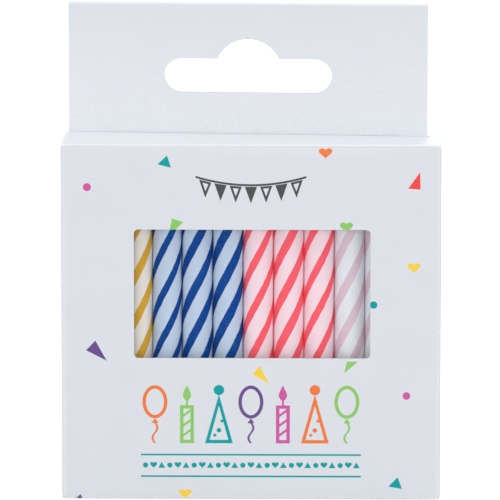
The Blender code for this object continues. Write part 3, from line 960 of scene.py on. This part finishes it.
def end_panel(name, node, body, rear, at_top):
    """An end panel from its crease to the start of its tongue."""
    run = rear - (TONGUE_FRONT + OUTER_CREASE)
    path = crease_path((0, 0), 0, [
        ("run", run), ("bend", OUTER_CREASE, 90), ("run", BOARD + CREASE_RADIUS - OUTER_CREASE),
    ])
    length = path[-1][0]
    outline = [
        (length, LEFT + FRONT_INSET), (length, RIGHT - FRONT_INSET), (run, RIGHT - FRONT_INSET),
    ]
    corners = ((RIGHT - REAR_INSET - REAR_CORNER, 90), (LEFT + REAR_INSET + REAR_CORNER, 180))
    for middle, begin in corners:
        outline += arc((REAR_CORNER, middle), (REAR_CORNER, REAR_CORNER), begin, begin + 90, 6)
        if at_top and begin == 90:
            outline += [
                (0, SLIT_HALF), (SLIT_WIDTH, SLIT_HALF), (SLIT_WIDTH, -SLIT_HALF), (0, -SLIT_HALF),
            ]
    outline.append((run, LEFT + FRONT_INSET))

    def placed(point, x):
        y = rear - point[0]
        if at_top:
            near_rear = min(max((y - TONGUE_FRONT) / (rear - TONGUE_FRONT), 0.0), 1.0)
            return Vector((x, y, HEIGHT + point[1] - CREASE_LEAN * x * near_rear))
        return Vector((x, y, -point[1]))

    rides = None if at_top else body
    panel = fold_board(name, outline, [], path, placed, rides, [node], "printed_board")
    if at_top:
        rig.blend(
            panel, "root", body, start=(0, rear * MM, HEIGHT * MM),
            end=(0, (rear - BENDING) * MM, HEIGHT * MM),
        )
    return panel


end_panel("lid_panel_board", "lid_panel", "lid", HEADER_PLY_FRONT - HAIRLINE, True)
end_panel("bottom_panel_board", "bottom_panel", "bottom", BACK - BOARD - HAIRLINE, False)

# %% Tongues
def tongue(name, node, body, at_top):
    """A tongue with two rounded corners, whose print side faces the front panel."""
    start = BOARD + CREASE_RADIUS + HAIRLINE
    length, corner = 6.4, 4.0
    half = (RIGHT - LEFT) / 2 - 1.6
    loop = [(0, -half)]
    for cx, begin in ((-half + corner, 180), (half - corner, 90)):
        turned_arc = arc((cx, length - corner), (corner, corner), begin, begin - 90, 8)
        loop += [(along, across) for across, along in turned_arc]
    loop.append((0, half))
    path = crease_path((0, 0), 0, [("run", length)])

    def placed(point, x):
        depth = start + point[0]
        return Vector((x, TONGUE_FRONT - point[1], HEIGHT - depth if at_top else depth))

    return fold_board(name, loop, [], path, placed, body, [node], "bare_board")


tongue("lid_tongue_board", "lid_tongue", "lid_tongue", True)
tongue("bottom_tongue_board", "bottom_tongue", "bottom_tongue", False)

# %% Dust flaps
def dust_flap(name, node, left, at_top):
    """A side flap, folded in under its end panel, narrow at its root and tapered to its tip."""
    sign = -1 if left else 1
    wall = RIGHT
    edge = BOARD * 0.85
    path = crease_path((0, 0), 90, [("run", 0.08), ("bend", edge, 90), ("run", 9.6)])
    bend_end = 0.08 + edge * math.pi / 2
    rear, front = HEADER_PLY_FRONT - 2 * HAIRLINE, TONGUE_FRONT + BOARD + HAIRLINE
    shoulder = bend_end + 1.8 - edge
    tip = bend_end + 10.0 - edge
    rear_tip = HEADER_PLY_FRONT - 1.2 - 8.2 * math.tan(math.radians(14))
    front_tip = TONGUE_FRONT + BOARD + 1.4 + 8.2 * math.tan(math.radians(12))
    loop = [(0, front), (bend_end + 0.2, front), (shoulder, front + 1.35)]
    loop += arc((tip - 1.2, front_tip + 1.2), (1.2, 1.2), 270, 360, 6)
    loop += arc((tip - 1.2, rear_tip - 1.2), (1.2, 1.2), 0, 90, 6)
    loop += [(shoulder, rear - 1.1), (bend_end + 0.2, rear), (0, rear)]
    base = CLOSURE_STACK - HAIRLINE - edge - 0.08

    def placed(point, y):
        x = sign * (wall - point[0])
        depth = BOARD + HAIRLINE + (edge + 0.08 - point[1])
        return Vector((x, y, HEIGHT - depth if at_top else depth))

    body = name.replace("_board", "")
    return fold_board(name, loop, [], path, placed, body, [node], "bare_board", grid=3.0)


for end, at_top in (("top", True), ("bottom", False)):
    for hand in ("left", "right"):
        node = f"{end}_dust_flap_{hand}"
        dust_flap(f"{node}_board", node, hand == "left", at_top)


# %% [markdown]
# ## Twisted candles
# A birthday candle of this kind is a rod of wax with shallow grooves, twisted while warm. The rule
# is simple, so Geometry Nodes make it: a ring with a few dents is carried up a line while it turns.
# The same tree, with thinner sizes, makes the three-strand wick. The ring writes down how far each
# of its points is from a groove, and the stripe is painted from that.

# %% The twisted rod as a node tree
rod = bpy.data.node_groups.new("twisted_rod", "GeometryNodeTree")
ROD_INPUTS = (
    ("Radius", "NodeSocketFloat"), ("Length", "NodeSocketFloat"), ("Lead", "NodeSocketFloat"),
    ("Grooves", "NodeSocketInt"), ("Groove Depth", "NodeSocketFloat"),
    ("Groove Share", "NodeSocketFloat"), ("Shoulder", "NodeSocketFloat"),
    ("Tip Share", "NodeSocketFloat"), ("Rows", "NodeSocketInt"), ("Sides", "NodeSocketInt"),
    ("Turn", "NodeSocketFloat"), ("Stripe Share", "NodeSocketFloat"),
    ("Foot", "NodeSocketVector"), ("Lean", "NodeSocketVector"),
    ("Finish", "NodeSocketMaterial"),
)
rod_socket = {}
rod.interface.new_socket(name="Geometry", in_out="OUTPUT", socket_type="NodeSocketGeometry")
for socket, kind in ROD_INPUTS:
    made = rod.interface.new_socket(name=socket, in_out="INPUT", socket_type=kind)
    rod_socket[socket] = made.identifier
given = rod.nodes.new("NodeGroupInput").outputs
rod_end = rod.nodes.new("NodeGroupOutput")


def maths(operation, first, second=None, third=None, clamp=False):
    node = rod.nodes.new("ShaderNodeMath")
    node.operation = operation
    node.use_clamp = clamp
    for index, source in enumerate((first, second, third)):
        if source is None:
            continue
        if isinstance(source, (int, float)):
            node.inputs[index].default_value = source
        else:
            rod.links.new(source, node.inputs[index])
    return node.outputs[0]


# %% The line up the middle, with more rings near its ends
rise = add_node(rod, "ShaderNodeCombineXYZ", {"Z": given["Length"]}).outputs[0]
spine = add_node(rod, "GeometryNodeCurvePrimitiveLine", {"End": rise}).outputs["Curve"]
spine = add_node(
    rod, "GeometryNodeResampleCurve", {"Curve": spine, "Count": given["Rows"]}, mode="COUNT"
).outputs["Curve"]
factor = add_node(rod, "GeometryNodeSplineParameter").outputs["Factor"]
swing = maths("COSINE", maths("MULTIPLY", factor, math.pi))
eased = maths("MULTIPLY", maths("SUBTRACT", 1.0, swing), 0.5)
spine = add_node(
    rod, "GeometryNodeStoreNamedAttribute",
    {"Geometry": spine, "Value": maths("MULTIPLY", eased, given["Length"])}, {"Name": "level"},
    data_type="FLOAT", domain="POINT",
).outputs[0]
level = add_node(
    rod, "GeometryNodeInputNamedAttribute", values={"Name": "level"}, data_type="FLOAT"
).outputs["Attribute"]
bend = add_node(
    rod, "ShaderNodeVectorMath",
    {0: given["Lean"], "Scale": maths("POWER", maths("DIVIDE", level, given["Length"]), 3.0)},
    operation="SCALE",
).outputs[0]
upright = add_node(rod, "ShaderNodeCombineXYZ", {"Z": level}).outputs[0]
spot = add_node(rod, "ShaderNodeVectorMath", {0: upright, 1: bend}, operation="ADD").outputs[0]
spine = add_node(rod, "GeometryNodeSetPosition", {"Geometry": spine, "Position": spot}).outputs[0]
twist = maths(
    "ADD", maths("MULTIPLY", maths("DIVIDE", level, given["Lead"]), math.tau), given["Turn"]
)
spine = add_node(
    rod, "GeometryNodeSetCurveTilt", {"Curve": spine, "Tilt": twist}
).outputs[0]
above = maths("SUBTRACT", level, maths("SUBTRACT", given["Length"], given["Shoulder"]))
rounding = maths("DIVIDE", above, given["Shoulder"], clamp=True)
fall = maths("SQRT", maths("SUBTRACT", 1.0, maths("MULTIPLY", rounding, rounding)))
rest_share = maths("SUBTRACT", 1.0, given["Tip Share"])
size = maths("ADD", given["Tip Share"], maths("MULTIPLY", fall, rest_share))

# %% The ring with its grooves, carried up the line
ring = add_node(
    rod, "GeometryNodeCurvePrimitiveCircle", {"Resolution": given["Sides"], "Radius": given["Radius"]}
).outputs["Curve"]
around = maths("MULTIPLY", add_node(rod, "GeometryNodeSplineParameter").outputs["Factor"], math.tau)
phase = maths("MULTIPLY", around, given["Grooves"])
width = maths("COSINE", maths("MULTIPLY", given["Groove Share"], math.pi))
dent = add_node(
    rod, "ShaderNodeMapRange",
    {"Value": maths("COSINE", phase), "From Min": maths("SUBTRACT", width, 0.3),
     "From Max": maths("ADD", width, 0.3)},
    interpolation_type="SMOOTHSTEP",
).outputs["Result"]
shrink = maths(
    "SUBTRACT", 1.0, maths("MULTIPLY", dent, maths("DIVIDE", given["Groove Depth"], given["Radius"]))
)
here = add_node(rod, "GeometryNodeInputPosition").outputs[0]
dented = add_node(rod, "ShaderNodeVectorMath", {0: here, "Scale": shrink}, operation="SCALE").outputs[0]
heading = add_node(
    rod, "ShaderNodeCombineXYZ",
    {"X": maths("COSINE", phase), "Y": maths("SINE", phase), "Z": given["Stripe Share"]},
).outputs[0]
ring = add_node(
    rod, "GeometryNodeStoreNamedAttribute", {"Geometry": ring, "Value": heading}, {"Name": "stripe"},
    data_type="FLOAT_VECTOR", domain="POINT",
).outputs[0]
ring = add_node(rod, "GeometryNodeSetPosition", {"Geometry": ring, "Position": dented}).outputs[0]
skin = add_node(
    rod, "GeometryNodeCurveToMesh", {"Curve": spine, "Profile Curve": ring, "Scale": size},
    {"Fill Caps": True},
).outputs["Mesh"]
# How far each point lies towards a neighbouring candle; the wax paints its coloured shade between candles from this.
sideways = add_node(
    rod, "ShaderNodeSeparateXYZ", {"Vector": add_node(rod, "GeometryNodeInputPosition").outputs[0]}
).outputs["X"]
skin = add_node(
    rod, "GeometryNodeStoreNamedAttribute",
    {"Geometry": skin, "Value": maths("ABSOLUTE", maths("DIVIDE", sideways, given["Radius"]))},
    {"Name": "contact"}, data_type="FLOAT", domain="POINT",
).outputs[0]
skin = add_node(
    rod, "GeometryNodeTransform", {"Geometry": skin, "Translation": given["Foot"]}
).outputs["Geometry"]
skin = add_node(rod, "GeometryNodeRealizeInstances", {"Geometry": skin}).outputs["Geometry"]
skin = add_node(
    rod, "GeometryNodeSetMaterial", {"Geometry": skin, "Material": given["Finish"]}
).outputs["Geometry"]
rod.links.new(skin, rod_end.inputs["Geometry"])
print("rod tree nodes:", len(rod.nodes))


# %% [markdown]
# ## Turning the tree into pieces
# Each candle is evaluated once with its own place and turn, and kept as a plain mesh. The twist's
# direction and the groove's first angle are measured on one trial rod, so that the stripes stand
# where the photograph shows them. There they follow each other every 8 mm up a candle, and climb
# so steeply that four fit round it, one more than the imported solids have. The front layer is drawn
# a little thicker than its solids, because no light shows between those candles. That closes the
# gaps and makes the stripes a little flatter than they should be.
#
# A column's turn says how far round its candles stand, and its stripe share how wide its stripes
# are painted.

# %% Evaluate a rod
def rod_mesh(name, **sizes):
    """A plain mesh of the tree's result with these sizes."""
    holder = add_object(bpy.data.meshes.new(name))
    modifier = holder.modifiers.new("rod", "NODES")
    modifier.node_group = rod
    for socket, value in sizes.items():
        modifier[rod_socket[socket.replace("_", " ")]] = value
    bpy.context.view_layer.update()
    graph = bpy.context.evaluated_depsgraph_get()
    mesh = bpy.data.meshes.new_from_object(holder.evaluated_get(graph))
    mesh.name = name
    bpy.data.objects.remove(holder)
    shape = bmesh.new()
    shape.from_mesh(mesh)
    bmesh.ops.recalc_face_normals(shape, faces=shape.faces)
    if shape.calc_volume(signed=True) < 0:
        bmesh.ops.reverse_faces(shape, faces=shape.faces)
    shape.to_mesh(mesh)
    shape.free()
    mesh.shade_smooth()
    mesh.set_sharp_from_angle(angle=math.radians(50))
    return mesh


WAX_RADIUS = 2.79
CROWDED_RADIUS = 2.69
BACK_RADIUS = 2.60
WAX_LENGTH = 57.3
LEAD = 32.13
GROOVES = 4
WAX_SIZES = dict(
    Radius=WAX_RADIUS * MM, Length=WAX_LENGTH * MM, Lead=LEAD * MM, Grooves=GROOVES,
    Groove_Depth=0.03 * MM, Groove_Share=0.40, Shoulder=0.9 * MM, Tip_Share=0.30, Rows=110, Sides=48,
)
trial = rod_mesh("trial", **WAX_SIZES, Turn=0.0, Foot=(0, 0, 0), Lean=(0, 0, 0), Finish=cotton)
marks = trial.attributes["stripe"].data
levels = trial.attributes["level"].data


def groove_angle(height):
    """Where the first groove lies, in degrees, in the ring nearest a height."""
    best = min(
        (v.index for v in trial.vertices if marks[v.index].vector.x > 0.99),
        key=lambda i: (round(abs(levels[i].value - height) * 1e5), trial.vertices[i].co.y < 0),
    )
    at = trial.vertices[best].co
    return math.degrees(math.atan2(at.y, at.x)), levels[best].value


SPACING = 360 / GROOVES
angle_a, level_a = groove_angle(0.020)
angle_b, level_b = groove_angle(0.0215)
found = (angle_b - angle_a + SPACING / 2) % SPACING - SPACING / 2
wanted = 360 * (level_b - level_a) / (LEAD * MM)
hand = 1 if abs(found - wanted) < abs(found + wanted) else -1
first_groove = (angle_a - hand * 360 * level_a / (LEAD * MM)) % SPACING
print("twist found and wanted:", round(found, 2), round(wanted, 2))
print("first groove in degrees:", round(first_groove, 1))

# %% Two layers of twelve candles
COLUMN_TURNS = (75.8, 34.5, 0.8, 30.8, 26.2, 4.5, 58.5, 27.0, 77.2, 15.0, 63.0, 25.5)
STRIPE_SHARES = (0.40, 0.38, 0.38, 0.33, 0.40, 0.42, 0.35, 0.41, 0.34, 0.40, 0.42, 0.38)
BACK_LAYER_TURN = 40
COLOUR_ORDER = ("gold", "blue", "coral", "mauve")
for row in range(2):
    for column in range(12):
        colour = COLOUR_ORDER[column // 3]
        name = f"{colour}_candle_{row * 3 + column % 3 + 1}"
        low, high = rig.box(f"{name}_wax")
        foot = Vector(((low.x + high.x) / 2, (low.y + high.y) / 2, low.z))
        degrees = COLUMN_TURNS[column] + row * BACK_LAYER_TURN - first_groove
        girth = BACK_RADIUS if row else CROWDED_RADIUS if column < 4 else WAX_RADIUS
        mesh = rod_mesh(
            f"{name}_wax_twisted",
            **{**WAX_SIZES, "Lead": hand * LEAD * MM, "Radius": girth * MM},
            Turn=hand * math.radians(degrees), Stripe_Share=STRIPE_SHARES[column], Foot=foot,
            Lean=(0, 0, 0), Finish=WAX_COLOURS[colour],
        )
        piece = add_object(mesh)
        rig.ride(piece, "root")
        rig.replaces(piece, f"{name}_wax")
        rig.slot(piece, f"{colour}_wax")
        wick_low, wick_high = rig.box(f"{name}_wick")
        sway = (0.3 * math.sin(column * 2.4 + row), 0.3 * math.cos(column * 1.7 + row), 0)
        wick = rod_mesh(
            f"{name}_wick_cord", Radius=0.50 * MM, Length=wick_high.z - wick_low.z, Lead=2.6 * MM,
            Grooves=3, Groove_Depth=0.12 * MM, Groove_Share=0.3, Shoulder=0.5 * MM, Tip_Share=0.5,
            Rows=120, Sides=15, Turn=0.0, Foot=(foot.x, foot.y, wick_low.z),
            Lean=[part * MM for part in sway], Finish=cotton,
        )
        cord = add_object(wick)
        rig.ride(cord, "root")
        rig.replaces(cord, f"{name}_wick")
        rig.slot(cord, "wick_cotton")
print("candles:", 24, "triangles each:", sum(len(p.vertices) - 2 for p in mesh.polygons))
bpy.data.meshes.remove(trial)


# %% [markdown]
# ## Floor, lights and camera
# The photograph was taken on white, with soft light from above and in front and hardly a shadow.
# The floor adds a little light of its own, only for rays that show it, so it reads as white while it
# still keeps the dark line of contact under the carton. From below it is clear, so that the base can
# be looked at. The camera stands far off and looks down a little.

# %% The floor
def seen_rays(tree):
    """One for the rays that show a thing directly, in a mirror or through glass, and nought else."""
    path = add_node(tree, "ShaderNodeLightPath").outputs
    either = add_node(
        tree, "ShaderNodeMath", {0: path["Is Camera Ray"], 1: path["Is Glossy Ray"]},
        operation="MAXIMUM",
    )
    return add_node(
        tree, "ShaderNodeMath", {0: either.outputs[0], 1: path["Is Transmission Ray"]},
        operation="MAXIMUM",
    ).outputs[0]


floor_mesh = bpy.data.meshes.new("floor")
FLOOR_HALF = 3.0
floor_corners = [
    (x * FLOOR_HALF, y * FLOOR_HALF, 0) for x, y in ((-1, -1), (1, -1), (1, 1), (-1, 1))
]
floor_mesh.from_pydata(floor_corners, [], [(0, 1, 2, 3)])
floor = add_object(floor_mesh)
floor.location.z = -0.0001
FLOOR_GLOW = 0.40
white, tree, shader = plain_material("white_floor")
shader.inputs["Base Color"].default_value = (0.82, 0.82, 0.82, 1)
shader.inputs["Roughness"].default_value = 0.9
shader.inputs["Specular IOR Level"].default_value = 0.0
glow = add_node(tree, "ShaderNodeMath", {0: seen_rays(tree)}, {1: FLOOR_GLOW}, operation="MULTIPLY")
lift = add_node(
    tree, "ShaderNodeEmission", {"Strength": glow.outputs[0]}, {"Color": (1, 1, 1, 1)}
)
both = add_node(tree, "ShaderNodeAddShader", {0: shader.outputs[0], 1: lift.outputs[0]})
below = add_node(tree, "ShaderNodeNewGeometry").outputs["Backfacing"]
clear = add_node(tree, "ShaderNodeBsdfTransparent")
surface = add_node(
    tree, "ShaderNodeMixShader", {0: below, 1: both.outputs[0], 2: clear.outputs[0]}
)
tree.links.new(surface.outputs[0], tree.nodes["Material Output"].inputs["Surface"])
floor_mesh.materials.append(white)
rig.stage(floor)

# %% World and lamps
world = bpy.data.worlds.new("studio")
bpy.context.scene.world = world
world.use_nodes = True
tree = world.node_tree
SKY_LIGHT = 0.58
sky = tree.nodes["Background"]
sky.inputs["Color"].default_value = (1, 1, 1, 1)
sky_strength = add_node(
    tree, "ShaderNodeMapRange", {"Value": seen_rays(tree)}, {"To Min": SKY_LIGHT, "To Max": 1.0}
)
tree.links.new(sky_strength.outputs["Result"], sky.inputs["Strength"])


def soft_box(name, place, aim, wide, tall, power, colour=(1.0, 1.0, 1.0)):
    """A large lamp that looks at a point."""
    lamp = bpy.data.lights.new(name, "AREA")
    lamp.shape = "RECTANGLE"
    lamp.size, lamp.size_y = wide, tall
    lamp.energy = power
    lamp.color = colour
    holder = bpy.data.objects.new(name, lamp)
    holder.location = place
    holder.rotation_euler = (Vector(aim) - Vector(place)).to_track_quat("-Z", "Y").to_euler()
    bpy.context.scene.collection.objects.link(holder)


soft_box("key_lamp", (0.015, -1.30, 0.40), (0, 0, 0.04), 0.3, 0.5, 4.4)
soft_box("top_lamp", (0.0, -0.15, 1.15), (0, 0, 0.06), 0.7, 0.7, 6.3, (1.0, 0.985, 0.95))
soft_box("back_lamp", (0.3, 1.20, 0.55), (0, 0, 0.04), 0.7, 0.7, 3.0)

# %% The camera
scene = bpy.context.scene
scene.view_settings.view_transform = "Standard"
FOCAL_PIXELS, PHOTO_PIXELS = 6669.7, 500
camera_data = bpy.data.cameras.new("camera")
camera_data.sensor_fit = "HORIZONTAL"
camera_data.sensor_width = 36.0
camera_data.lens = FOCAL_PIXELS * camera_data.sensor_width / PHOTO_PIXELS
camera_data.clip_start = 0.05
camera_data.clip_end = 20.0
camera = bpy.data.objects.new("camera", camera_data)
pitch, yaw = math.radians(10.921), math.radians(0.741)
level_heading = Vector((-math.sin(yaw), math.cos(yaw), 0))
forward = level_heading * math.cos(pitch) - Vector((0, 0, math.sin(pitch)))
across = Vector((math.cos(yaw), math.sin(yaw), 0))
upward = across.cross(forward)
camera.matrix_world = Matrix.Translation((0.01499, -1.17827, 0.27172)) @ Matrix(
    (across, upward, -forward)
).transposed().to_4x4()
scene.collection.objects.link(camera)
scene.camera = camera
print("lens in mm:", round(camera_data.lens, 1))

# %% Write down both boxes and finish
seen_box = [list(corner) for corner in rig.bounds()]
with open("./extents.json", "w") as record:
    json.dump({"cad": cad_box, "scene": seen_box}, record)
print("scene box in mm:", [[round(value / MM, 2) for value in corner] for corner in seen_box])
